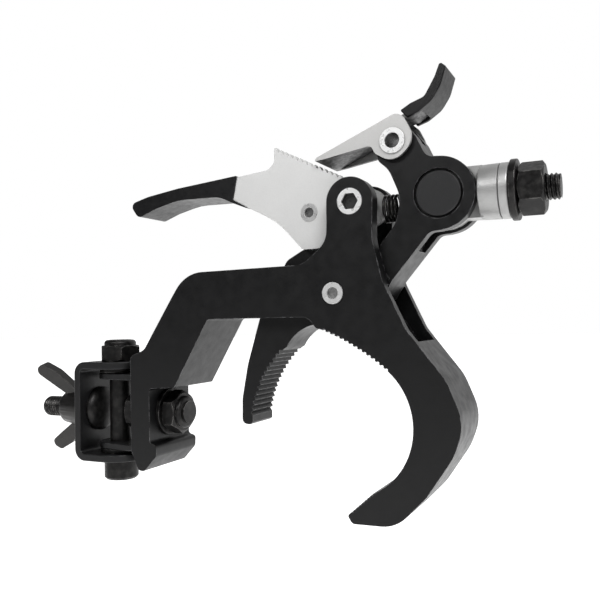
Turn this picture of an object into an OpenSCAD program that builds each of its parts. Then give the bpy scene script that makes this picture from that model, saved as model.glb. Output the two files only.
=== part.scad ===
// Squeeze-action pipe clamp with a ratchet lever, a swivelling yoke stud and a two-axis
// accessory bracket. X runs along the clamp, Y along the gripped pipe, Z is up.
// The origin is the centre of the hook's bore, half way through its thickness.

/* [Hook and casting] */
// Radius of the hook's bore
hook_r = 27.5; // [26.5:0.1:28]
// Thickness of the casting along the pipe
body_t = 30; // [29:0.5:32]
// Width of the channel between the two side walls
channel_w = 18.2; // [18:0.1:18.6]
// Width of the pocket in the hook's back
pocket_w = 23; // [20:0.5:23]
// Width of the set-back lug that carries the hub
lug_w = 18; // [17:0.5:18]
// Radius of the ears round the lever pivot
ear_r = 9.4; // [9:0.1:9.6]
// Radius of the hub disc
hub_r = 13.7; // [13:0.1:13.9]
// Width of the slot that the swivel tongue turns in
hub_slot_w = 9; // [8.6:0.1:9.4]
// Depth of the small gripping grooves across the hook
groove_r = 0.65; // [0.5:0.05:0.8]

/* [Lever] */
// Thickness of each lever side plate
lever_plate_t = 3; // [2.5:0.1:3]
// Distance between the outer faces of the two lever plates
lever_w = 17.6; // [17:0.1:17.8]
// Number of ratchet teeth on each plate
tooth_n = 14; // [12:1:15]
// Depth of a ratchet tooth
tooth_h = 1.3; // [1:0.1:1.5]
// Width of the moulded grip
grip_w = 18.4; // [18:0.2:19]

/* [Jaw] */
// Width of the jaw's gripping pad
jaw_w = 17.2; // [16.5:0.1:17.4]
// Width of the jaw's tail, which runs between the lever plates
jaw_tail_w = 10.6; // [10:0.1:10.8]
// Thickness of the drive link
link_t = 4.6; // [4.2:0.1:4.8]
// Number of teeth across the gripping pad
jaw_tooth_n = 13; // [11:1:14]

/* [Pawl] */
// Thickness of the pawl's pressed sheet
pawl_t = 1.5; // [1.2:0.1:1.8]
// Distance between the outer faces of the pawl's cheeks
pawl_w = 22.4; // [22:0.1:22.6]
// Width of the thumb tab
tab_w = 16; // [16:0.5:18]

/* [Yoke stud] */
// Diameter of the swivel barrel
barrel_d = 20.6; // [20:0.2:21]
// Thread diameter of the yoke stud and of all the bracket bolts
thread_d = 10; // [9.9:0.1:10]
// Diameter over the thread crests at the free end of the two studs
crest_d = 9.64; // [9.6:0.02:9.66]
// Distance across the flats of the hexagon nuts
nut_af = 17; // [16:1:17]

/* [Bracket] */
// Sheet thickness of the outer bracket
outer_t = 3.4; // [3:0.1:3.6]
// Sheet thickness of the inner bracket
inner_t = 2.8; // [2.6:0.1:3]
// Length of each wing of the wing nut, measured from its axis
wing_reach = 21.5; // [20:0.5:22]

/* [Hidden] */
$fn = 64;

// Pivot centres in the X-Z plane
lever_axis = [4.5, 85];
link_top = [-15.2, 83];
link_foot = [-17, 59.5];
jaw_axis = [-3, 50.2];
hub_axis = [37.2, 86];
pawl_axis = [20.8, 107];
// Axis positions of the accessory bracket
pan_x = -118.3;
foot_x0 = -100.5;
foot_x1 = -90.5;
web_x = foot_x0 - 0.4;
outer_x = -133.9;
// Clearances between a pin and its hole
pin_gap = 0.05;
bolt_gap = 0.1;
// Half sizes that many parts share
half_t = body_t / 2;
half_channel = channel_w / 2;
half_lug = lug_w / 2;
plate_y1 = lever_w / 2;
plate_y0 = plate_y1 - lever_plate_t;
half_tail = jaw_tail_w / 2;
half_link = link_t / 2;
pawl_y1 = pawl_w / 2;
// Play of the drive link on the jaw's pin
link_play = 0.3;
// Radii of the pins
lever_pin_r = 4;
link_pin_r = 2.6;
jaw_pin_r = 3.6;
hub_pin_r = 5;
pawl_pin_r = 3.6;
hub_cap_r = 8.5;
bolt_r = thread_d / 2;
crest_r = crest_d / 2;
black = "#2b2b2b";
steel = "#c9c9c9";
dark = "#1c1c1c";

// ---- outline helpers --------------------------------------------------------------

function xy(p) = [p[0], p[1]];
function unit(v) = v / norm(v);
function turn(a) = a > 180 ? a - 360 : a < -180 ? a + 360 : a;
function polar(c, r, a) = c + r * [cos(a), sin(a)];

// The arc that rounds corner p between its neighbours a and b; p[2] is the radius
function corner(a, p, b) =
    let(u = unit(xy(a) - xy(p)), v = unit(xy(b) - xy(p)), half = acos(u * v) / 2, r = p[2],
        c = xy(p) + unit(u + v) * r / sin(half),
        s = xy(p) + u * r / tan(half) - c, e = xy(p) + v * r / tan(half) - c,
        a0 = atan2(s[1], s[0]), sweep = turn(atan2(e[1], e[0]) - a0),
        n = max(2, ceil(abs(sweep) / (r < 3 ? 22 : 7.5))))
    [for (i = [0:n]) polar(c, r, a0 + sweep * i / n)];

// A closed outline of [x, z, corner radius] points as plain points
function rounded(p) = let(n = len(p)) [for (i = [0:n - 1])
    each (p[i][2] == 0 ? [xy(p[i])] : corner(p[(i + n - 1) % n], p[i], p[(i + 1) % n]))];

// ---- solid helpers ----------------------------------------------------------------

// Extrudes an X-Z outline from y0 to y1
module slab(y0, y1) rotate([90, 0, 0]) translate([0, 0, -y1]) linear_extrude(y1 - y0) children();

// A round bar along Y, centred on c in the X-Z plane
module bar_y(c, r, y0, y1) translate([c[0], y0, c[1]]) rotate([-90, 0, 0]) cylinder(r = r, h = y1 - y0);

// A round bar along X from x0 to x1 at height z
module bar_x(x0, x1, r, z = 0) translate([x0, 0, z]) rotate([0, 90, 0]) cylinder(r = r, h = x1 - x0);

// A hexagon prism of flats width af and height h, standing on Z
module hex(af, h) cylinder(r = af / sqrt(3), h = h, $fn = 6);

// A hexagon nut on Z with both faces chamfered and a threaded bore
module nut(af, h, bore_r) difference() {
    intersection() {
        hex(af, h);
        rotate_extrude() polygon([[0, 0], [af * 0.49, 0], [af * 0.6, 1.3], [af * 0.6, h - 1.3],
            [af * 0.49, h], [0, h]]);
    }
    translate([0, 0, -1]) cylinder(r = bore_r, h = h + 2);
}

// The round collar of a locking nut, standing on Z
module lock_collar(r, h, bore_r) difference() {
    rotate_extrude() polygon(concat([[0, 0], [r, 0]], [for (a = [0:15:90]) polar([r - 1.6, h - 1.6], 1.6, a)],
        [[0, h]]));
    translate([0, 0, -1]) cylinder(r = bore_r, h = h + 2);
}

// A coil of round wire along Z as one swept tube
module coil(r, wire_r, pitch, turns, sides = 8, per_turn = 18) {
    rings = turns * per_turn;
    points = [for (i = [0:rings], j = [0:sides - 1])
        let(a = 360 * i / per_turn, b = 360 * j / sides, d = r + wire_r * cos(b))
        [d * cos(a), d * sin(a), pitch * i / per_turn + wire_r * sin(b)]];
    skin = [for (i = [0:rings - 1], j = [0:sides - 1]) let(k = (j + 1) % sides)
        [i * sides + j, (i + 1) * sides + j, (i + 1) * sides + k, i * sides + k]];
    first_cap = [[for (j = [0:sides - 1]) j]];
    last_cap = [[for (j = [sides - 1:-1:0]) rings * sides + j]];
    polyhedron(points, concat(skin, first_cap, last_cap));
}

// ---- main casting -----------------------------------------------------------------

// A point on the toothed lip above the bore, t from 0 at the arm to 1 at the bore
lip_start = [-8, 36.2];
lip_end = [18.5, 20.3];
lip_bulge = 1.2;
function lip(t) = let(u = lip_end - lip_start)
    lip_start + t * u + 4 * lip_bulge * t * (1 - t) * unit([-u[1], u[0]]);

wall_outline = rounded([
    [-5, 94.4, 9.3], [14, 94.4, 9.3], [13.2, 70, 20], [17, 54, 12], [25.5, 36, 10], [40, 17.5, 20],
    [46.4, 2, 18], [42, -9.8, 20], [32, -24.6, 22], [20.2, -36.7, 14], [3, -37, 1.8], [1.2, -34, 1],
    [13.5, -23.2, 0], [12, 0, 0], each [for (i = [10:-1:0]) concat(lip(i / 10), 0)], [-10.5, 36.9, 1.5],
    [-14, 41.2, 5], [-60, 41.2, 2],
    [-77.3, 12.2, 1], [foot_x1, 11.4, 1], [foot_x1, -12, 1.5], [-86.8, -13, 1.6], [-87, -17.5, 2],
    [-93.5, -24.4, 2], [-96.5, -24.4, 2], [foot_x0, -16, 4], [foot_x0, 25.5, 3], [-93, 28.2, 5],
    [-78.4, 50, 8], [-70.8, 60.9, 16], [-16, 61.7, 9], [-5.2, 70, 10]]);

lug_outline = rounded([
    [13.5, 101, 4], [18.5, 96.5, 10], [22.8, 86, 12], [21, 76, 12], [15, 69, 4], [11.5, 60, 2], [7, 56, 2],
    [13, 45, 2], [19, 54.6, 0.4], [33.8, 72, 4], [40, 72.3, 2], [40, 99.6, 3], [33, 100, 4],
    [29.3, 108, 3], [25, 113.5, 3], [16.5, 113.5, 3]]);

pocket_outline = [[11.2, 48.6], [22.5, 56], [36.5, 32.5], [23, 30.4]];

// The space between the side walls for the lever heel, the link and the jaw
slot_outline = [[-31, 70], [-31, 61], [-45, 46], [-45, 30], [-3.5, 30], [-3.5, 37.4], [0, 40.2], [7.5, 52],
    [11.5, 60], [15, 69], [22, 84], [22, 100], [-31, 100]];

// Grooves across the two flat lips beside the bore
module grip_grooves() {
    for (i = [0:14]) bar_y(lip((i + 0.5) / 15), groove_r, -half_t - 1, half_t + 1);
    for (i = [0:9]) bar_y([3.2, -32.2] + i * [1.13, 0.98], groove_r * 0.7, -half_t - 1, half_t + 1);
}

module hub_slot() slab(-hub_slot_w / 2, hub_slot_w / 2) {
    translate(hub_axis) circle(r = 13.1);
    polygon([[29, 76], [27.5, 66], [34, 60], [60, 70], [60, 104], [41, 104], [35, 98.5]]);
}

// The fork at the top of the lug, where the pawl's spring sits
module pawl_fork() slab(-3, 3) {
    translate(pawl_axis) circle(r = 5.6);
    polygon([[12, 100.6], [24, 101.4], [30, 103], [30, 116], [12, 116]]);
}

module main_casting() color(black) difference() {
    union() {
        difference() {
            slab(-half_t, half_t) polygon(wall_outline);
            slab(-half_channel, half_channel) polygon(slot_outline);
            bar_y(jaw_axis, 10.4, -half_channel, half_channel);
            slab(-pocket_w / 2, pocket_w / 2) polygon(pocket_outline);
        }
        slab(-half_lug, half_lug) polygon(lug_outline);
        bar_y(hub_axis, hub_r, -half_lug, half_lug);
        slab(-half_channel - 0.1, half_channel + 0.1)
            polygon([[7, 56], [11, 60], [13.2, 62], [18, 55], [12, 50]]);
    }
    bar_y([0, 0], hook_r, -half_t - 1, half_t + 1);
    grip_grooves();
    hub_slot();
    pawl_fork();
    bar_y(hub_axis, hub_pin_r, -half_lug - 1, half_lug + 1);
    for (s = [-1, 1]) bar_y(hub_axis, hub_cap_r + 0.8, s > 0 ? half_lug - 1.4 : -half_lug - 1,
        s > 0 ? half_lug + 1 : -half_lug + 1.4);
    bar_y(lever_axis, lever_pin_r, -half_t - 1, half_t + 1);
    for (s = [0, 1]) mirror([0, s, 0]) bar_y(lever_axis, 5.1, -half_t - 1, -half_t + 2);
    bar_y(jaw_axis, jaw_pin_r, -half_t - 1, half_t + 1);
    bar_y(pawl_axis, pawl_pin_r, -half_lug - 1, half_lug + 1);
    bar_x(foot_x0 - 1, foot_x1 + 1, bolt_r);
}

module hub_caps() color(dark) for (s = [0, 1]) mirror([0, s, 0])
    bar_y(hub_axis, hub_cap_r, -half_lug - 0.1, -half_lug + 1.3);

module hub_pin() color(steel) bar_y(hub_axis, hub_pin_r, -half_lug + 1.4, half_lug - 1.4);

module lever_pivot_barrel() color(steel) difference() {
    union() {
        bar_y(lever_axis, lever_pin_r, -half_t + 2, half_t - 2);
        bar_y(lever_axis, 5, half_t - 2, half_t + 0.2);
    }
    bar_y(lever_axis, 2.5, -half_t + 1, half_t - 8);
    translate([lever_axis[0], half_t - 2.6, lever_axis[1]]) rotate([-90, 0, 0]) hex(5, 3);
}

module lever_pivot_screw() color(steel) difference() {
    union() {
        bar_y(lever_axis, 5, -half_t - 0.2, -half_t + 2);
        bar_y(lever_axis, 2.5, -half_t + 2, half_t - 9);
    }
    translate([lever_axis[0], -half_t - 1, lever_axis[1]]) rotate([-90, 0, 0]) hex(6, 3.2);
}

module jaw_pivot_rivet() color(steel) difference() {
    union() {
        bar_y(jaw_axis, jaw_pin_r, -half_t, half_t);
        for (s = [0, 1]) mirror([0, s, 0]) bar_y(jaw_axis, 4.2, -half_t - 0.8, -half_t);
    }
    for (s = [0, 1]) mirror([0, s, 0]) bar_y(jaw_axis, 2.3, -half_t - 1, -half_t + 1.4);
}

spring_x0 = lever_axis[0] + 8.5;
module return_spring() color(dark) translate([spring_x0 + 0.7, 0, lever_axis[1] - 2])
    rotate([0, 90, 0]) coil(5.1, 0.65, 1.5, 4.5);

// The torsion spring round the pawl's rivet, inside the forked top of the lug
module pawl_spring() color(dark) translate([pawl_axis[0], 2.1, pawl_axis[1]]) rotate([90, 0, 0])
    coil(4.6, 0.45, 1.05, 4);

// Thin washers between the lug and the pawl's cheeks
module pawl_shims() color(steel) for (s = [0, 1]) mirror([0, s, 0]) difference() {
    bar_y(pawl_axis, 5.6, -pawl_y1 + pawl_t + 0.05, -half_lug);
    bar_y(pawl_axis, pawl_pin_r + pin_gap, -pawl_y1, -half_lug + 1);
}

// ---- foot fixing ------------------------------------------------------------------

foot_washer_t = 1.6;
module foot_bolt() color(dark) {
    bar_x(web_x - inner_t - 0.2, foot_x1 + foot_washer_t + 9.4, bolt_r);
    translate([web_x - inner_t - 5.9, 0, 0]) rotate([0, 90, 0]) intersection() {
        hex(nut_af, 5.8);
        rotate_extrude() polygon([[0, 0], [8.2, 0], [10, 1.2], [10, 5.8], [0, 5.8]]);
    }
}

module foot_washer() color(dark) difference() {
    bar_x(foot_x1, foot_x1 + foot_washer_t, 10.5);
    bar_x(foot_x1 - 1, foot_x1 + 3, bolt_r);
}

module foot_nut() color(dark) translate([foot_x1 + foot_washer_t, 0, 0]) rotate([0, 90, 0]) {
    nut(nut_af, 6.4, bolt_r);
    translate([0, 0, 6.4]) lock_collar(7.2, 2, bolt_r);
}

// ---- lever ------------------------------------------------------------------------

tooth_start = [0.5, 95.6];
tooth_end = [-29.6, 110.7];
tooth_step = (tooth_end - tooth_start) / tooth_n;
tooth_in = unit([tooth_step[1], -tooth_step[0]]) * tooth_h;

// One tooth: a steep side that faces the pawl and a long sloping back
function tooth(i) = let(p = tooth_start + i * tooth_step) [p, p + 0.25 * tooth_step - tooth_in];

plate_outline = concat(rounded([
    [-30.4, 111.2, 0.6], [-30.6, 104.8, 2], [-33.5, 102, 3], [-47, 100.7, 2], [-60, 98.2, 1], [-82, 96.4, 1],
    [-82, 94.4, 1], [-62, 95, 4], [-49.6, 90.6, 6], [-40.8, 86.1, 10], [-29, 80, 34], [-20.5, 70.6, 3],
    [-18.4, 68.4, 1], [-10.8, 68.4, 2], [-7, 74, 6], [2, 77, 6], [12.4, 77, 7.9], [12.4, 92.8, 7.9],
    [6, 93, 3]]), [for (i = [0:tooth_n - 1]) each tooth(i)]);

module lever_plate(y0) difference() {
    slab(y0, y0 + lever_plate_t) polygon(plate_outline);
    bar_y(lever_axis, lever_pin_r + pin_gap, y0 - 1, y0 + lever_plate_t + 1);
    bar_y(link_top, link_pin_r, y0 - 1, y0 + lever_plate_t + 1);
}

module lever_plate_front() color(steel) lever_plate(-plate_y1);
module lever_plate_rear() color(steel) lever_plate(plate_y0);

spacer_outline = rounded([
    [-29, 105, 2], [-46, 99.4, 2], [-60, 97.6, 2], [-78, 96.2, 0.5], [-78, 94.9, 0.5], [-60, 95.6, 3],
    [-46, 91.8, 4], [-30, 95, 4]]);

module lever_spacer() color(steel) slab(-plate_y0, plate_y0) polygon(spacer_outline);

module lever_link_rivet() color(steel) {
    difference() {
        union() {
            bar_y(link_top, link_pin_r, -plate_y1 - 0.1, plate_y1 + 0.1);
            for (s = [0, 1]) mirror([0, s, 0]) bar_y(link_top, 3.6, -plate_y1 - 0.25, -plate_y1);
        }
        for (s = [0, 1]) mirror([0, s, 0]) bar_y(link_top, 2, -plate_y1 - 1, -plate_y1 + 1.2);
    }
}

grip_outline = rounded([
    [-104.2, 93.8, 2.2], [-94, 96.4, 20], [-78, 98.6, 30], [-48, 101.2, 0.6],
    [-50.2, 91.2, 0.3], [-41.4, 86.2, 0.2], [-50.4, 89.8, 3], [-57, 93, 14],
    [-78, 93.4, 30], [-90, 90.6, 14], [-99.6, 87.2, 2.8]]);

module lever_grip() color(black) difference() {
    slab(-grip_w / 2, grip_w / 2) polygon(grip_outline);
    for (y0 = [-plate_y1, plate_y0]) slab(y0, y0 + lever_plate_t) polygon(plate_outline);
    slab(-plate_y0, plate_y0) polygon(spacer_outline);
}

// ---- link and jaw -----------------------------------------------------------------

module drive_link() color(steel) difference() {
    slab(-half_link, half_link) union() {
        translate(link_top) circle(r = 4.6);
        translate(link_foot) circle(r = 5);
        polygon([link_top + [-4.2, 0], link_foot + [-4.2, 0], link_foot + [4.2, 0], link_top + [4.2, 0]]);
    }
    bar_y(link_top, link_pin_r + pin_gap, -half_link - 1, half_link + 1);
    bar_y(link_foot, link_pin_r + link_play, -half_link - 1, half_link + 1);
}

pad_centre = [4.1, -6.6];
pad_r = 47.4;
pad_a0 = 132.4;
pad_a1 = 170.2;
pad_face = [for (i = [0:10]) polar(pad_centre, pad_r, pad_a0 + (pad_a1 - pad_a0) * i / 10)];

jaw_outline = concat(
    rounded([[-43.2, -2.8, 1.9], [-47.6, -2.4, 2.1], [-47.4, 8, 10], [-44.6, 22, 30], [-38.6, 41, 12],
        [-30.5, 57, 6], [-27.6, 64.4, 5], [-19, 69, 6], [-10.6, 68, 8.2], [-7, 58.8, 6], [3.5, 58.8, 6],
        [5.6, 46, 6], [-4, 41, 6], [-11.4, 38.7, 10], [-22.6, 36.4, 17]]),
    pad_face);

module jaw() color(black) difference() {
    union() {
        intersection() {
            slab(-jaw_w / 2, jaw_w / 2) polygon(jaw_outline);
            translate([-60, -20, -20]) cube([80, 40, 74]);
        }
        slab(-half_tail, half_tail) polygon(jaw_outline);
        bar_y(jaw_axis, 8.4, -half_channel + 0.2, half_channel - 0.2);
    }
    slab(-half_link - 0.3, half_link + 0.3) union() {
        translate(link_foot) circle(r = 6.6);
        polygon([[-27, 58], [-7, 56], [-5, 72], [-30, 72]]);
    }
    bar_y(link_foot, link_pin_r, -half_tail - 1, half_tail + 1);
    bar_y(jaw_axis, jaw_pin_r + pin_gap, -half_t, half_t);
    for (i = [0:jaw_tooth_n]) let(a = pad_a0 + 2 + i * (pad_a1 - pad_a0 - 2.8) / jaw_tooth_n)
        translate([pad_centre[0] + pad_r * cos(a), -10, pad_centre[1] + pad_r * sin(a)])
            rotate([-90, 0, 0]) rotate([0, 0, -a]) cylinder(r = 1, h = 20, $fn = 4);
}

module jaw_link_pin() color(steel) bar_y(link_foot, link_pin_r, -half_tail, half_tail);

// ---- pawl -------------------------------------------------------------------------

cheek_outline = rounded([
    [-11.6, 102.6, 0.3], [-10.6, 104, 1], [24, 118, 4], [30, 106, 7.4], [20.8, 98.6, 6.5], [13.6, 103, 3.5],
    [12.4, 106.2, 2], [-6.4, 103.2, 1]]);

tab_outline = rounded([
    [23, 119, 0.5], [27, 121.2, 3], [32.4, 123, 3], [34.6, 126.6, 8], [36.6, 130, 8], [38.6, 135, 0.8],
    [41, 133, 0.8], [38.8, 126, 10], [35.4, 121, 8], [30, 117.4, 5], [25.6, 116, 0.5]]);

module pawl_channel() color("#d2cfc8") difference() {
    union() {
        for (y0 = [-pawl_y1, pawl_y1 - pawl_t]) slab(y0, y0 + pawl_t) polygon(cheek_outline);
        slab(-pawl_y1, pawl_y1) intersection() {
            polygon(cheek_outline);
            polygon([[-12, 106], [24, 120.2], [24.6, 118.6], [24.4, 116.2], [-9.4, 102.7], [-11.8, 102.4]]);
        }
        slab(-6, 6) polygon([[22.6, 117.6], [22.8, 116], [27, 116.9], [33, 121], [32, 122], [26.6, 118.4]]);
    }
    bar_y(pawl_axis, pawl_pin_r, -pawl_y1 - 1, pawl_y1 + 1);
}

// A hollow rivet that turns with the pawl
module pawl_rivet() color(steel) difference() {
    union() {
        bar_y(pawl_axis, pawl_pin_r - pin_gap, -pawl_y1, pawl_y1);
        for (s = [0, 1]) mirror([0, s, 0]) bar_y(pawl_axis, 4.9, -pawl_y1 - 0.7, -pawl_y1);
    }
    bar_y(pawl_axis, 2.9, -pawl_y1 - 2, pawl_y1 + 2);
}

module thumb_tab() color(black) difference() {
    slab(-tab_w / 2, tab_w / 2) polygon(tab_outline);
    slab(-6.1, 6.1) polygon([[20, 117.7], [22.8, 115.9], [23.4, 113], [32, 116.4], [30.6, 119.2], [33.1, 121],
        [32, 122.1], [26.6, 118.5]]);
}

// ---- swivel stub ------------------------------------------------------------------

barrel_x0 = hub_axis[0] + hub_r + 0.5;
barrel_x1 = 62.3;
yoke_nut_x = barrel_x1 + 2.7;
yoke_nut_h = 9.2;
yoke_bolt_x1 = 79.3;
module swivel_stub() color(steel) difference() {
    union() {
        slab(0.3 - hub_slot_w / 2, hub_slot_w / 2 - 0.3) union() {
            translate(hub_axis) circle(r = 12.6);
            polygon([hub_axis + [0, -9.6], [barrel_x0 + 1, hub_axis[1] - 9.6],
                [barrel_x0 + 1, hub_axis[1] + 9.6], hub_axis + [0, 9.6]]);
        }
        translate([0, 0, hub_axis[1]]) rotate([0, 90, 0]) rotate_extrude() polygon(rounded([
            [0, barrel_x0, 0], [barrel_d / 2 - 0.2, barrel_x0, 0.6], [barrel_d / 2, 58.4, 0],
            [barrel_d / 2 - 0.5, 58.7, 0], [barrel_d / 2, 59, 0], [barrel_d / 2, barrel_x1, 0.9],
            [0, barrel_x1, 0]]));
    }
    bar_y(hub_axis, hub_pin_r + pin_gap, -hub_slot_w, hub_slot_w);
    bar_x(barrel_x1 - 6, barrel_x1 + 1, bolt_r, hub_axis[1]);
}

// The threaded rod that is screwed into the end of the barrel
module yoke_bolt() color(dark) {
    bar_x(barrel_x1 - 6, yoke_nut_x + yoke_nut_h, bolt_r, hub_axis[1]);
    bar_x(yoke_nut_x + 1, yoke_bolt_x1 - 0.9, crest_r, hub_axis[1]);
    translate([yoke_bolt_x1 - 0.9, 0, hub_axis[1]]) rotate([0, 90, 0])
        cylinder(r1 = crest_r, r2 = crest_r - 0.9, h = 0.9);
}

module yoke_washer() color(dark) difference() {
    bar_x(barrel_x1 + 0.1, barrel_x1 + 2.5, 11.2, hub_axis[1]);
    bar_x(barrel_x1 - 1, barrel_x1 + 4, bolt_r + bolt_gap, hub_axis[1]);
}

module yoke_nut() color(dark) translate([yoke_nut_x, 0, hub_axis[1]]) rotate([0, 90, 0])
    nut(nut_af, yoke_nut_h, bolt_r + pin_gap);

// ---- accessory bracket ------------------------------------------------------------

inner_h = 17.2;
outer_h = 22.6;
module inner_bracket() color(black) difference() {
    intersection() {
        slab(-11, 11) difference() {
            polygon(rounded([[-130, inner_h, 0], [web_x, inner_h, 4], [web_x, -inner_h, 4],
                [-130, -inner_h, 0]]));
            polygon(rounded([[-131, inner_h - inner_t, 0], [web_x - inner_t, inner_h - inner_t, 1.4],
                [web_x - inner_t, inner_t - inner_h, 1.4], [-131, inner_t - inner_h, 0]]));
        }
        translate([0, 0, -30]) linear_extrude(60) union() {
            translate([pan_x, 0]) circle(r = 9.6);
            polygon([[pan_x, -9.6], [-108, -11], [-90, -11], [-90, 11], [-108, 11], [pan_x, 9.6]]);
        }
    }
    translate([pan_x, 0, -30]) cylinder(r = bolt_r + pin_gap, h = 60);
    bar_x(web_x - 10, web_x + 2, bolt_r + pin_gap);
}

module outer_bracket() color(black) difference() {
    intersection() {
        slab(-14, 14) difference() {
            polygon(rounded([[-90, outer_h, 0], [outer_x, outer_h, 5.4], [outer_x, -outer_h, 5.4],
                [-90, -outer_h, 0]]));
            polygon(rounded([[-89, outer_h - outer_t, 0], [outer_x + outer_t, outer_h - outer_t, 2],
                [outer_x + outer_t, outer_t - outer_h, 2], [-89, outer_t - outer_h, 0]]));
        }
        translate([0, 0, -30]) linear_extrude(60) union() {
            translate([pan_x, 0]) circle(r = 14);
            translate([outer_x, -14]) square([pan_x - outer_x, 28]);
        }
    }
    translate([pan_x, 0, -30]) cylinder(r = bolt_r, h = 60);
    bar_x(outer_x - 1, outer_x + outer_t + 1, bolt_r);
}

module pan_bolt() color(dark) translate([pan_x, 0, 0]) difference() {
    union() {
        translate([0, 0, -outer_h - 0.1]) cylinder(r = bolt_r, h = 2 * outer_h + 10);
        translate([0, 0, -outer_h - 9.4]) rotate_extrude()
            polygon([[0, 0], [6.8, 0], [7.8, 1], [7.8, 9.4], [0, 9.4]]);
    }
    translate([0, 0, -outer_h - 10]) hex(8, 5);
}

module pan_washers() color(dark) for (z = [-outer_h + outer_t, inner_h + 0.2]) translate([pan_x, 0, z])
    difference() {
        cylinder(r = 9.4, h = outer_h - outer_t - inner_h - 0.2);
        translate([0, 0, -1]) cylinder(r = bolt_r, h = 5);
    }

module pan_nut() color(dark) translate([pan_x, 0, outer_h]) rotate([0, 0, 12]) {
    nut(nut_af, 7.2, bolt_r);
    translate([0, 0, 7.2]) lock_collar(7.3, 2.6, bolt_r);
}

stud_end_x = -163.5;
wing_x = outer_x - 2.5;
wing_boss = 14;
module carriage_bolt() color(dark) {
    bar_x(wing_x - wing_boss, outer_x + outer_t, bolt_r);
    bar_x(stud_end_x + 2.5, wing_x - wing_boss + 1, crest_r);
    translate([stud_end_x, 0, 0]) rotate([0, 90, 0]) rotate_extrude()
        polygon(concat([[0, 2.5], [0, 0]], [for (a = [-60:15:0]) polar([crest_r - 2.5, 2.5], 2.5, a)]));
    translate([outer_x + outer_t, 0, 0]) rotate([0, 90, 0]) rotate_extrude()
        polygon(concat([[0, 0], [10, 0], [10.2, 0.8]],
            [for (a = [15:15:75]) [10.2 * cos(a), 0.8 + 4.2 * sin(a)]], [[0, 5]]));
}

module wing_washer() color(dark) difference() {
    bar_x(outer_x - 2.2, outer_x - 0.2, 11);
    bar_x(outer_x - 3, outer_x + 1, bolt_r + bolt_gap);
}

wing_tilt = 16;
module wing_nut() color(dark) rotate([wing_tilt, 0, 0]) difference() {
    union() {
        translate([wing_x, 0, 0]) rotate([0, -90, 0]) rotate_extrude()
            polygon([[0, 0], [9, 0], [9.4, 0.8], [7.6, wing_boss - 1], [6.8, wing_boss], [0, wing_boss]]);
        for (s = [0, 1]) mirror([0, 0, s]) slab(-2, 2) polygon(rounded([
            [wing_x - 2.6, 5, 0], [wing_x - 2.6, 7.4, 1], [wing_x - 15, wing_reach - 3, 5],
            [wing_x - 23, wing_reach + 1, 2.6], [wing_x - 29.5, wing_reach - 2.4, 2.6],
            [wing_x - 18.5, 11.8, 5], [wing_x - 8, 5, 0]]));
    }
    bar_x(wing_x - 30, wing_x + 1, bolt_r + pin_gap);
}

main_casting();
hub_caps();
hub_pin();
lever_pivot_barrel();
lever_pivot_screw();
jaw_pivot_rivet();
return_spring();
pawl_spring();
pawl_shims();
foot_bolt();
foot_washer();
foot_nut();
lever_plate_front();
lever_plate_rear();
lever_spacer();
lever_link_rivet();
lever_grip();
drive_link();
jaw();
jaw_link_pin();
pawl_channel();
pawl_rivet();
thumb_tab();
swivel_stub();
yoke_bolt();
yoke_washer();
yoke_nut();
inner_bracket();
outer_bracket();
pan_bolt();
pan_washers();
pan_nut();
carriage_bolt();
wing_washer();
wing_nut();
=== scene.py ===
"""Looks for the pipe clamp: materials, softened edges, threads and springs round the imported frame."""
from math import cos, pi, radians, sin

import bmesh
import bpy
from mathutils import Matrix, Vector


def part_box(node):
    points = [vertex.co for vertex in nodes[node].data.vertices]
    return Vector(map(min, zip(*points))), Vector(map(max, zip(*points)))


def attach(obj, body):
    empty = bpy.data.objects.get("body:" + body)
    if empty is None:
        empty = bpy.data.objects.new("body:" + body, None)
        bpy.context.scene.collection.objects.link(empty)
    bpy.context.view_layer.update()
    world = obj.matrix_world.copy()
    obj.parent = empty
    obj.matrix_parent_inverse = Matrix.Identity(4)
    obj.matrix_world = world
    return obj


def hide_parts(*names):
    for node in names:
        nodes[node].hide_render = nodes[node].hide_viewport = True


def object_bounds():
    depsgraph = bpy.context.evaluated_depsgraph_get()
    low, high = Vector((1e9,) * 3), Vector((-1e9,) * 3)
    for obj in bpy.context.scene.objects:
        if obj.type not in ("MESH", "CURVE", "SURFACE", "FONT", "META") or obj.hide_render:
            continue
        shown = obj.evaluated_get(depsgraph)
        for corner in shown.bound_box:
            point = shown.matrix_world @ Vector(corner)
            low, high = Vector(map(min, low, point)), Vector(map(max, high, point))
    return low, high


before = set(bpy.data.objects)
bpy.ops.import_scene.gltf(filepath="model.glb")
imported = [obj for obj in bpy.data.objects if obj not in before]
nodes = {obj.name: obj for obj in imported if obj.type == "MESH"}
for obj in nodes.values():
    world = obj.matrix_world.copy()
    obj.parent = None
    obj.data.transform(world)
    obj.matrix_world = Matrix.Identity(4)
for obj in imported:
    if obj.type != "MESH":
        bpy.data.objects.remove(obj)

cad_box = [list(map(float, corner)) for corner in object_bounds()]
mm = 0.001

# ---- shader building ----------------------------------------------------------------


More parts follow.
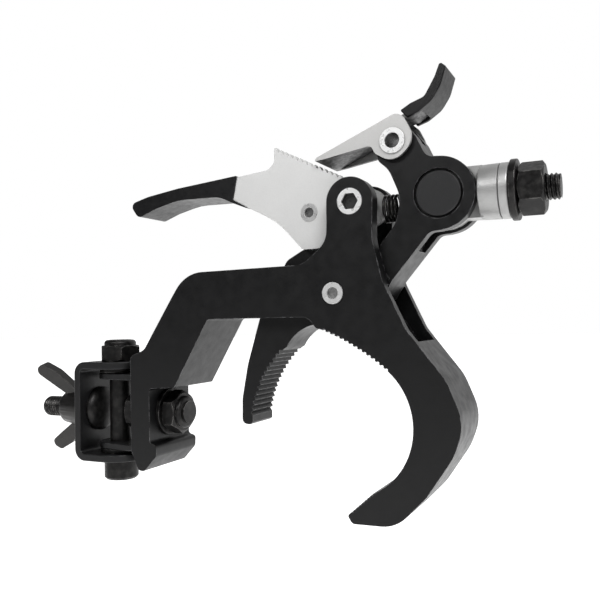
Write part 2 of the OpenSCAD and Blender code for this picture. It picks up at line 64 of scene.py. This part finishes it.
class Shader:
    """A material's node tree, with short calls for the nodes that the finishes share."""

    def __init__(self, name, colour, roughness, metallic=0.0):
        self.material = bpy.data.materials.new(name)
        self.material.use_nodes = True
        self.tree = self.material.node_tree
        self.bsdf = self.tree.nodes["Principled BSDF"]
        self.bsdf.inputs["Base Color"].default_value = (*colour, 1)
        self.bsdf.inputs["Roughness"].default_value = roughness
        self.bsdf.inputs["Metallic"].default_value = metallic
        self.place = self.node("ShaderNodeTexCoord").outputs["Object"]

    @classmethod
    def wrap(cls, material):
        """Takes up an existing material to add to it."""
        s = cls.__new__(cls)
        s.material, s.tree = material, material.node_tree
        s.bsdf = s.tree.nodes["Principled BSDF"]
        s.place = s.node("ShaderNodeTexCoord").outputs["Object"]
        return s

    def node(self, kind, **settings):
        made = self.tree.nodes.new(kind)
        for key, value in settings.items():
            setattr(made, key, value)
        return made

    def link(self, source, target):
        self.tree.links.new(source, target)

    def noise(self, size, detail=4.0, stretch=(1, 1, 1)):
        """Noise whose grains are about size metres across."""
        mapping = self.node("ShaderNodeMapping")
        mapping.inputs["Scale"].default_value = stretch
        self.link(self.place, mapping.inputs["Vector"])
        noise = self.node("ShaderNodeTexNoise")
        noise.inputs["Scale"].default_value = 1 / size
        noise.inputs["Detail"].default_value = detail
        self.link(mapping.outputs["Vector"], noise.inputs["Vector"])
        return noise.outputs["Fac"]

    def ramp(self, source, low, high, start=0.0, end=1.0):
        """Maps source from start..end onto low..high."""
        mapped = self.node("ShaderNodeMapRange")
        mapped.inputs["From Min"].default_value = start
        mapped.inputs["From Max"].default_value = end
        mapped.inputs["To Min"].default_value = low
        mapped.inputs["To Max"].default_value = high
        self.link(source, mapped.inputs["Value"])
        return mapped.outputs["Result"]

    def multiply(self, a, b):
        product = self.node("ShaderNodeMath", operation="MULTIPLY")
        self.link(a, product.inputs[0])
        self.link(b, product.inputs[1])
        return product.outputs[0]

    def tint(self, factor, other):
        """Mixes the current base colour towards another by factor."""
        mix = self.node("ShaderNodeMix", data_type="RGBA")
        self.link(factor, mix.inputs["Factor"])
        base = self.bsdf.inputs["Base Color"]
        if base.is_linked:
            self.link(base.links[0].from_socket, mix.inputs["A"])
        else:
            mix.inputs["A"].default_value = base.default_value
        mix.inputs["B"].default_value = (*other, 1)
        self.link(mix.outputs["Result"], base)

    def roughen(self, source):
        self.link(source, self.bsdf.inputs["Roughness"])

    def bump(self, source, height, strength):
        """Adds relief of the given height in metres on top of any relief already there."""
        bump = self.node("ShaderNodeBump")
        bump.inputs["Strength"].default_value = strength
        bump.inputs["Distance"].default_value = height
        self.link(source, bump.inputs["Height"])
        target = self.bsdf.inputs["Normal"]
        if target.is_linked:
            self.link(target.links[0].from_socket, bump.inputs["Normal"])
        self.link(bump.outputs["Normal"], target)

    def edges(self, radius, start=0.012, end=0.12):
        """About 1 along edges and 0 on flats, broken up by noise."""
        bevel = self.node("ShaderNodeBevel", samples=4)
        bevel.inputs["Radius"].default_value = radius
        geometry = self.node("ShaderNodeNewGeometry")
        dot = self.node("ShaderNodeVectorMath", operation="DOT_PRODUCT")
        self.link(bevel.outputs["Normal"], dot.inputs[0])
        self.link(geometry.outputs["Normal"], dot.inputs[1])
        edge = self.ramp(dot.outputs["Value"], 1.0, 0.0, 1 - end, 1 - start)
        broken = self.ramp(self.noise(3 * mm, 6), 0.0, 1.0, 0.42, 0.62)
        return self.multiply(edge, broken)

    def crevice_shade(self, reach, depth=0.85, own=False):
        """A painted-shade mask: about depth inside sockets and corners closer than reach, and 0 in the
        open.
        """
        occlusion = self.node("ShaderNodeAmbientOcclusion", samples=6, only_local=own)
        occlusion.inputs["Distance"].default_value = reach
        return self.ramp(occlusion.outputs["AO"], depth, 0.0, 0.25, 0.8)


def scaled(colour, factor):
    """The colour made lighter or darker by factor."""
    return tuple(factor * c for c in colour)


def powder_coat(name, colour, roughness, grain=0.35 * mm, wear=(0.16, 0.16, 0.165)):
    """Satin powder coat: a fine orange peel, uneven gloss, slightly rubbed edges and painted shade in its
    recesses.
    """
    s = Shader(name, colour, roughness)
    s.bsdf.inputs["Specular IOR Level"].default_value = 0.3
    s.tint(s.ramp(s.noise(9 * mm, 5), 0.0, 0.35, 0.35, 0.75), scaled(colour, 1.35))
    s.tint(s.ramp(s.noise(0.5 * mm, 2), 0.0, 0.5, 0.55, 0.8), scaled(colour, 1.8))
    s.tint(s.edges(0.5 * mm), wear)
    # painted shade: recesses and corners within 9 mm darkened almost to black
    s.tint(s.crevice_shade(9 * mm, 0.95), scaled(colour, 0.05))
    s.roughen(s.ramp(s.noise(4 * mm, 6), roughness - 0.06, roughness + 0.07, 0.3, 0.7))
    s.bump(s.noise(grain, 3), 0.03 * mm, 0.55)
    s.bump(s.noise(2.4 * mm, 2), 0.04 * mm, 0.4)
    return s.material


def moulded(name, colour, roughness):
    """Moulded glass-filled nylon: a leather-like grain, cloudy patches, rubbed edges and painted shade in
    its corners.
    """
    s = Shader(name, colour, roughness)
    s.bsdf.inputs["Specular IOR Level"].default_value = 0.26
    # painted shade: corners and recesses within 3 mm darkened
    s.tint(s.crevice_shade(3 * mm, 0.9), scaled(colour, 0.15))
    cells = s.node("ShaderNodeTexVoronoi", feature="SMOOTH_F1")
    cells.inputs["Scale"].default_value = 1 / (0.55 * mm)
    s.link(s.place, cells.inputs["Vector"])
    s.bump(cells.outputs["Distance"], 0.035 * mm, 0.6)
    s.bump(s.noise(0.2 * mm, 3), 0.015 * mm, 0.5)
    s.tint(s.ramp(s.noise(6 * mm, 5), 0.0, 0.5, 0.4, 0.75), scaled(colour, 1.5))
    s.tint(s.edges(0.4 * mm), (0.10, 0.10, 0.10))
    s.roughen(s.ramp(s.noise(2 * mm, 5), roughness - 0.07, roughness + 0.06, 0.3, 0.7))
    return s.material


def blasted(name, colour, roughness, metallic, grain=0.6):
    """Bead-blasted metal: a fine even sparkle with faint handling marks, and painted shade in notches and
    corners.
    """
    s = Shader(name, colour, roughness, metallic)
    s.tint(s.ramp(s.noise(0.3 * mm, 2), 0.0, 0.35, 0.5, 0.8), scaled(colour, 0.72))
    s.tint(s.ramp(s.noise(14 * mm, 6), 0.0, 0.25, 0.45, 0.8), scaled(colour, 0.82))
    # painted shade: notches and corners within 2.2 mm darkened
    s.tint(s.crevice_shade(2.2 * mm), (0.03, 0.03, 0.03))
    s.roughen(s.ramp(s.noise(1.2 * mm, 6), roughness - 0.08, roughness + 0.08, 0.3, 0.7))
    s.bump(s.noise(0.25 * mm, 3), 0.02 * mm, grain)
    return s.material


def machined(name, colour, roughness, stretch, anisotropy=0.0, metallic=1.0):
    """Turned or drawn metal: fine lines along the tool's path, with a few dull spots and painted shade in
    tight corners.
    """
    s = Shader(name, colour, roughness, metallic)
    s.bsdf.inputs["Anisotropic"].default_value = anisotropy
    lines = s.noise(0.5 * mm, 6, stretch)
    s.bump(lines, 0.012 * mm, 0.5)
    s.tint(s.ramp(lines, 0.0, 0.5, 0.4, 0.75), scaled(colour, 0.66))
    s.tint(s.ramp(s.noise(5 * mm, 7), 0.0, 0.35, 0.5, 0.75), scaled(colour, 0.55))
    # painted shade: tight corners within 0.8 mm darkened
    s.tint(s.crevice_shade(0.8 * mm), (0.05, 0.05, 0.05))
    s.roughen(s.ramp(s.noise(2.5 * mm, 6), roughness - 0.09, roughness + 0.12, 0.3, 0.7))
    return s.material


def channel_nickel(name, colour):
    """Blasted nickel plate, with painted shade on its downward faces and inside its channel."""
    material = blasted(name, colour, 0.42, 0.3, 0.15)
    s = Shader.wrap(material)
    # painted shade: faces turned downwards are darkened, varied a little by noise
    facing = s.node("ShaderNodeSeparateXYZ")
    s.link(s.node("ShaderNodeTexCoord").outputs["Normal"], facing.inputs[0])
    underside_shade_variation = s.ramp(s.noise(2.5 * mm, 6, (1, 1, 3)), 0.75, 1.0, 0.4, 0.6)
    s.tint(s.multiply(s.ramp(facing.outputs["Z"], 0.95, 0.0, -0.5, -0.2), underside_shade_variation), (0.02, 0.02, 0.021))
    # painted shade inside the channel, from the piece's own occlusion
    s.tint(s.crevice_shade(9 * mm, 0.94, own=True), (0.018, 0.018, 0.019))
    return material


def rivet(node, shade, colour):
    """Bright turned steel, with painted shade in its socket that deepens with depth below the head's face.
    """
    s = Shader("steel_" + node, (colour, colour, 0.995 * colour), 0.3, 0.45)
    lines = s.noise(0.4 * mm, 4)
    s.bump(lines, 0.006 * mm, 0.15)
    s.tint(s.ramp(lines, 0.0, 0.2, 0.5, 0.8), (0.7 * colour,) * 3)
    s.roughen(s.ramp(s.noise(2 * mm, 5), 0.24, 0.38, 0.3, 0.7))
    low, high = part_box(node)
    face = max(-low[1], high[1])
    parts = s.node("ShaderNodeSeparateXYZ")
    s.link(s.place, parts.inputs[0])
    depth = s.node("ShaderNodeMath", operation="ABSOLUTE")
    s.link(parts.outputs["Y"], depth.inputs[0])
    # painted shade: the socket darkens with depth below the head's face
    s.tint(s.ramp(depth.outputs[0], shade, 0.0, face - 1.1 * mm, face - 0.3 * mm), (0.01, 0.01, 0.01))
    return s.material


def oxide(name, colour, roughness):
    """Black oxide steel: a dark sheen with a faint bloom and bright rubbed corners."""
    s = Shader(name, colour, roughness, 0.75)
    s.tint(s.ramp(s.noise(3 * mm, 6), 0.0, 0.6, 0.45, 0.75), (0.052, 0.050, 0.048))
    s.tint(s.edges(0.45 * mm), (0.30, 0.29, 0.28))
    s.roughen(s.ramp(s.noise(1.5 * mm, 6), roughness - 0.1, roughness + 0.12, 0.3, 0.7))
    s.bump(s.noise(0.4 * mm, 4), 0.02 * mm, 0.5)
    return s.material


casting_black = powder_coat("casting_black", (0.0042, 0.0042, 0.0045), 0.37)
bracket_black = powder_coat("bracket_black", (0.010, 0.010, 0.0105), 0.34, 0.3 * mm)
cap_black = powder_coat("cap_black", (0.014, 0.014, 0.0147), 0.5, 0.25 * mm)
grip_black = moulded("grip_black", (0.006, 0.006, 0.0064), 0.36)
tab_black = moulded("tab_black", (0.004, 0.004, 0.0043), 0.36)
plate_silver = blasted("plate_silver", (0.62, 0.62, 0.615), 0.5, 0.15)
pawl_nickel = channel_nickel("pawl_nickel", (0.50, 0.497, 0.49))
stub_steel = machined("stub_steel", (0.43, 0.43, 0.426), 0.42, (14, 1, 1), 0.3, 0.6)
hidden_steel = machined("hidden_steel", (0.6, 0.6, 0.6), 0.4, (1, 8, 1))
bolt_black = oxide("bolt_black", (0.015, 0.0145, 0.0145), 0.4)
wing_black = oxide("wing_black", (0.040, 0.039, 0.038), 0.36)
spring_black = oxide("spring_black", (0.020, 0.019, 0.019), 0.34)

# The nodes that each finish covers
FINISH = {
    casting_black: ["main_casting", "jaw"],
    cap_black: ["hub_caps"],
    bracket_black: ["inner_bracket", "outer_bracket"],
    grip_black: ["lever_grip"],
    tab_black: ["thumb_tab"],
    plate_silver: ["lever_plate_front", "lever_plate_rear"],
    pawl_nickel: ["pawl_channel"],
    stub_steel: ["swivel_stub"],
    hidden_steel: ["hub_pin", "jaw_link_pin", "drive_link", "lever_spacer", "pawl_shims"],
    bolt_black: ["foot_bolt", "foot_washer", "foot_nut", "yoke_bolt", "yoke_washer", "yoke_nut",
                 "pan_bolt", "pan_washers", "pan_nut", "carriage_bolt", "wing_washer"],
    wing_black: ["wing_nut"],
    spring_black: ["return_spring", "pawl_spring"],
}
# How dark the painted shade in each rivet's socket gets, and how bright its steel is
RIVETS = {
    "lever_pivot_screw": (0.95, 0.78),
    "lever_pivot_barrel": (0.95, 0.78),
    "jaw_pivot_rivet": (0.5, 0.66),
    "lever_link_rivet": (0.7, 0.5),
    "pawl_rivet": (0.9, 0.78),
}
finish_of = {node: material for material, names in FINISH.items() for node in names}
finish_of.update({node: rivet(node, *look) for node, look in RIVETS.items()})


def node_group(name):
    """An empty geometry node group with one geometry socket each way."""
    group = bpy.data.node_groups.new(name, "GeometryNodeTree")
    for way in ("INPUT", "OUTPUT"):
        group.interface.new_socket("Geometry", in_out=way, socket_type="NodeSocketGeometry")
    return group, group.nodes.new("NodeGroupInput").outputs[0], group.nodes.new("NodeGroupOutput").inputs[0]


def welded_group():
    """Joins the facets of a CAD mesh into one skin without its stored normals."""
    group, source, target = node_group("welded")
    plain = group.nodes.new("GeometryNodeRemoveAttribute")
    plain.inputs["Name"].default_value = "custom_normal"
    merge = group.nodes.new("GeometryNodeMergeByDistance")
    merge.inputs["Distance"].default_value = 0.01 * mm
    group.links.new(source, plain.inputs["Geometry"])
    group.links.new(plain.outputs[0], merge.inputs["Geometry"])
    group.links.new(merge.outputs[0], target)
    return group


def creased_group(angle):
    """Shades every face smooth and keeps edges that turn more than angle sharp."""
    group, source, target = node_group("creased")
    faces = group.nodes.new("GeometryNodeSetShadeSmooth")
    edges = group.nodes.new("GeometryNodeSetShadeSmooth")
    edges.domain = "EDGE"
    turn = group.nodes.new("GeometryNodeInputMeshEdgeAngle")
    below = group.nodes.new("FunctionNodeCompare")
    below.operation = "LESS_THAN"
    below.inputs["B"].default_value = angle
    group.links.new(turn.outputs["Unsigned Angle"], below.inputs["A"])
    group.links.new(source, faces.inputs["Geometry"])
    group.links.new(faces.outputs[0], edges.inputs["Geometry"])
    group.links.new(below.outputs[0], edges.inputs["Shade Smooth"])
    group.links.new(edges.outputs[0], target)
    return group


CREASE = radians(32)
WELDED = welded_group()
CREASED = creased_group(CREASE)


def soften(piece, width, segments=2):
    """Merges the flat facets of a piece and rounds its edges."""
    piece.modifiers.new("welded", "NODES").node_group = WELDED
    flats = piece.modifiers.new("flats", "DECIMATE")
    flats.decimate_type = "DISSOLVE"
    flats.angle_limit = radians(0.6)
    piece.modifiers.new("creased", "NODES").node_group = CREASED
    bevel = piece.modifiers.new("bevel", "BEVEL")
    bevel.width = width
    bevel.segments = segments
    bevel.limit_method = "ANGLE"
    bevel.angle_limit = CREASE
    bevel.harden_normals = True
    bevel.use_clamp_overlap = True
    bevel.miter_outer = "MITER_ARC"


def rounded_wire(piece):
    """Rounds the section of a coil and smooths its turns."""
    weld = piece.modifiers.new("weld", "WELD")
    weld.merge_threshold = 0.004 * mm
    smooth = piece.modifiers.new("smooth", "SUBSURF")
    smooth.levels = smooth.render_levels = 1
    for polygon in piece.data.polygons:
        polygon.use_smooth = True


# Edge radii in millimetres; nodes not listed take PLAIN_EDGE
PLAIN_EDGE = 0.2
EDGE = {
    "main_casting": 0.28, "jaw": 0.14, "lever_grip": 0.9, "thumb_tab": 0.6, "lever_plate_front": 0.18,
    "lever_plate_rear": 0.18, "pawl_channel": 0.25, "inner_bracket": 0.5, "outer_bracket": 0.55,
    "wing_nut": 0.8, "pawl_rivet": 0.07, "lever_link_rivet": 0.07, "jaw_pivot_rivet": 0.07,
    "lever_pivot_screw": 0.07,
    "swivel_stub": 0.3, "hub_caps": 0.6, "yoke_washer": 0.3, "foot_washer": 0.3,
}
for name, node in nodes.items():
    node.data.materials.clear()
    node.data.materials.append(finish_of[name])
    if name in ("return_spring", "pawl_spring"):
        rounded_wire(node)
    else:
        soften(node, EDGE.get(name, PLAIN_EDGE) * mm)

# ---- threaded rods ------------------------------------------------------------------

# Radii of the rods over their threads' crests and at their chamfered ends
CREST = 4.82 * mm
TIP = 4.3 * mm


def thread_wave(turns):
    """0 on a thread's crest and 1 at its root, with both slightly flattened."""
    return min(max(2.4 * abs((turns % 1) - 0.5) - 0.1, 0), 1)


def turned(name, profile, z, material, pitch=1.5 * mm, depth=0.62 * mm, sides=72):
    """A turned piece along X at height z.

    The profile lists (x, radius, threaded) from one closed end to the other; between two threaded
    points the skin follows a helical groove.
    """
    rings = []
    for (x0, r0, cut0), (x1, r1, cut1) in zip(profile, profile[1:]):
        steps = max(1, round(abs(x1 - x0) / (pitch / 12))) if cut0 and cut1 else 1
        for i in range(steps):
            rings.append((x0 + (x1 - x0) * i / steps, r0 + (r1 - r0) * i / steps, cut0 and cut1))
    rings.append(profile[-1])
    form = bmesh.new()
    skins = []
    for x, radius, cut in rings:
        ring = []
        for i in range(sides):
            angle = 2 * pi * i / sides
            groove = depth * thread_wave(x / pitch - i / sides) if cut else 0
            reach = max(radius - groove, 0.2 * mm)
            ring.append(form.verts.new((x, reach * cos(angle), z + reach * sin(angle))))
        skins.append(ring)
    for a, b in zip(skins, skins[1:]):
        for i in range(sides):
            form.faces.new((a[i], a[(i + 1) % sides], b[(i + 1) % sides], b[i]))
    form.faces.new(skins[0])
    form.faces.new(skins[-1])
    bmesh.ops.recalc_face_normals(form, faces=form.faces)
    mesh = bpy.data.meshes.new(name)
    form.to_mesh(mesh)
    form.free()
    piece = bpy.data.objects.new(name, mesh)
    mesh.materials.append(material)
    bpy.context.collection.objects.link(piece)
    piece.modifiers.new("creased", "NODES").node_group = CREASED
    return piece


def yoke_thread():
    """The black threaded rod of the yoke stud."""
    low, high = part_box("yoke_bolt")
    z = (low[2] + high[2]) / 2
    end = high[0]
    rod = turned("yoke_thread", [
        (low[0], 3.6 * mm, False), (low[0], TIP, False), (low[0] + 3 * mm, CREST, True),
        (end - 0.8 * mm, CREST, True), (end, TIP, True), (end, 3.4 * mm, False)], z, bolt_black)
    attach(rod, "stub")
    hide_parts("yoke_bolt")


def accessory_bolt():
    """The domed carriage bolt that the wing nut runs on."""
    low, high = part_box("carriage_bolt")
    head = (high[2] - low[2]) / 2
    sheet = 3.4 * mm
    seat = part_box("outer_bracket")[0][0] + sheet
    rim = 0.8 * mm
    crown = 4.2 * mm
    neck = 4 * mm
    nose = 2.5 * mm
    dome = [(seat + rim + crown * sin(a), head * cos(a), False) for a in map(radians, range(0, 90, 6))]
    point = [(low[0] + nose * (1 - sin(a)), CREST - nose * (1 - cos(a)), False)
             for a in map(radians, (20, 40, 60, 78, 90))]
    profile = dome[::-1] + [(seat, head - 0.3 * mm, False), (seat, CREST, False),
                            (seat - neck, CREST, True), (low[0] + nose + 0.1 * mm, CREST, True)] + point
    bolt = turned("accessory_bolt", profile, 0, bolt_black)
    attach(bolt, "pan_bracket")
    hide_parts("carriage_bolt")


yoke_thread()
accessory_bolt()

# ---- stage, light and camera --------------------------------------------------------


def studio_floor(level):
    """A plain white floor, even to look at; as light, it is brighter behind the clamp."""
    mesh = bpy.data.meshes.new("floor")
    form = bmesh.new()
    bmesh.ops.create_grid(form, x_segments=2, y_segments=2, size=6.0)
    form.to_mesh(mesh)
    form.free()
    floor = bpy.data.objects.new("floor", mesh)
    floor.location.z = level
    s = Shader("floor_white", (0.92, 0.92, 0.92), 0.75)
    s.roughen(s.ramp(s.noise(0.2, 3), 0.7, 0.8))
    s.bsdf.inputs["Emission Color"].default_value = (1, 1, 1, 1)
    parts = s.node("ShaderNodeSeparateXYZ")
    s.link(s.place, parts.inputs[0])
    strength = s.node("ShaderNodeMath", operation="MAXIMUM")
    s.link(s.node("ShaderNodeLightPath").outputs["Is Camera Ray"], strength.inputs[0])
    s.link(s.ramp(parts.outputs["Y"], 0.35, 1.0, -0.25, 0.15), strength.inputs[1])
    s.link(strength.outputs[0], s.bsdf.inputs["Emission Strength"])
    mesh.materials.append(s.material)
    bpy.context.collection.objects.link(floor)


def panel(name, place, aim, width, height, power):
    """A soft rectangular light at place, turned towards aim."""
    data = bpy.data.lights.new(name, "AREA")
    data.shape = "RECTANGLE"
    data.size = width
    data.size_y = height
    data.energy = power
    light = bpy.data.objects.new(name, data)
    light.location = place
    light.rotation_euler = (Vector(aim) - Vector(place)).to_track_quat("-Z", "Y").to_euler()
    bpy.context.collection.objects.link(light)


def camera(place, forward, roll, lens):
    """The camera at place, looking along forward and rolled about it."""
    data = bpy.data.cameras.new("camera")
    data.lens = lens
    data.sensor_width = 36
    eye = bpy.data.objects.new("camera", data)
    turn = Vector(forward).to_track_quat("-Z", "Y").to_matrix() @ Matrix.Rotation(roll, 3, "Z")
    eye.matrix_world = Matrix.Translation(place) @ turn.to_4x4()
    bpy.context.collection.objects.link(eye)
    bpy.context.scene.camera = eye


def studio_world(toward, dim, bright):
    """White to look at; as light, it is bright round one direction and dim away from it."""
    made = bpy.data.worlds.new("studio")
    made.use_nodes = True
    tree = made.node_tree
    backdrop = tree.nodes["Background"]
    backdrop.inputs["Color"].default_value = (1, 1, 1, 1)
    light = tree.nodes.new("ShaderNodeBackground")
    direction = tree.nodes.new("ShaderNodeTexCoord")
    dot = tree.nodes.new("ShaderNodeVectorMath")
    dot.operation = "DOT_PRODUCT"
    dot.inputs[1].default_value = Vector(toward).normalized()
    ramp = tree.nodes.new("ShaderNodeMapRange")
    ramp.interpolation_type = "SMOOTHSTEP"
    ramp.inputs["From Min"].default_value = -0.35
    ramp.inputs["From Max"].default_value = 0.75
    ramp.inputs["To Min"].default_value = dim
    ramp.inputs["To Max"].default_value = bright
    seen = tree.nodes.new("ShaderNodeLightPath")
    mix = tree.nodes.new("ShaderNodeMixShader")
    tree.links.new(direction.outputs["Generated"], dot.inputs[0])
    tree.links.new(dot.outputs["Value"], ramp.inputs["Value"])
    tree.links.new(ramp.outputs["Result"], light.inputs["Strength"])
    tree.links.new(seen.outputs["Is Camera Ray"], mix.inputs[0])
    tree.links.new(light.outputs[0], mix.inputs[1])
    tree.links.new(backdrop.outputs[0], mix.inputs[2])
    tree.links.new(mix.outputs[0], tree.nodes["World Output"].inputs["Surface"])
    bpy.context.scene.world = made


bpy.context.scene.view_settings.view_transform = "Standard"
low, high = (Vector(corner) for corner in cad_box)
centre = (low + high) / 2
studio_world(toward=(0.45, 0.85, 0), dim=0.05, bright=1.0)
floor_drop = 0.09
studio_floor(low.z - floor_drop)
panel("key", place=(0.32, -0.40, 0.52), aim=centre, width=0.3, height=0.3, power=3.4)
panel("fill", place=(-0.30, -0.66, 0.50), aim=centre, width=0.45, height=0.22, power=1.9)

eye_place = Vector((103.1, -267.5, 40.4)) * mm
azimuth = radians(25.44)
rise = radians(1.55)
roll = radians(-1.07)
lens = 42.84
forward = (-sin(azimuth) * cos(rise), cos(azimuth) * cos(rise), sin(rise))
camera(eye_place, forward, roll, lens)
